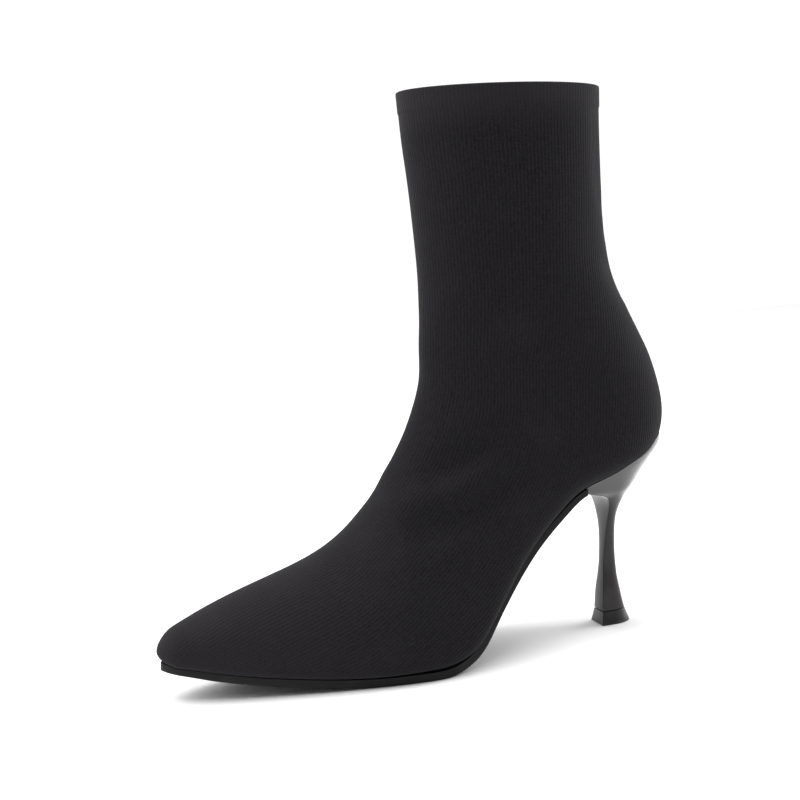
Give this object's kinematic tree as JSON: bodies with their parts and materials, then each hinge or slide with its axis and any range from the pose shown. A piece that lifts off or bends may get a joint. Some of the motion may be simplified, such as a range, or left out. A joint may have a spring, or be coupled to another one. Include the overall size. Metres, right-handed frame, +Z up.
{
  "type": "sock boot",
  "caption": "Pull-on ankle sock boot in fine rib knit with a pointed toe, a thin sole and a high flared heel.",
  "frame": {"origin": "on the floor, at the middle of the underside of the top piece", "axes": "-X towards the toe, +Y towards the inner (medial) side, +Z up"},
  "size_m": [0.2449, 0.0792, 0.253],
  "materials": {
    "black_knit": "matt fine rib knit",
    "black_sole": "smooth satin",
    "dark_lining": "matt lining, colour assumed",
    "black_gloss": "high gloss lacquer",
    "black_rubber": "smooth satin"
  },
  "bodies": {
    "root": {"upper": "black_knit", "outsole": "black_sole", "insole": "dark_lining", "heel": "black_gloss", "top_piece": "black_rubber"}
  },
  "joints": []
}
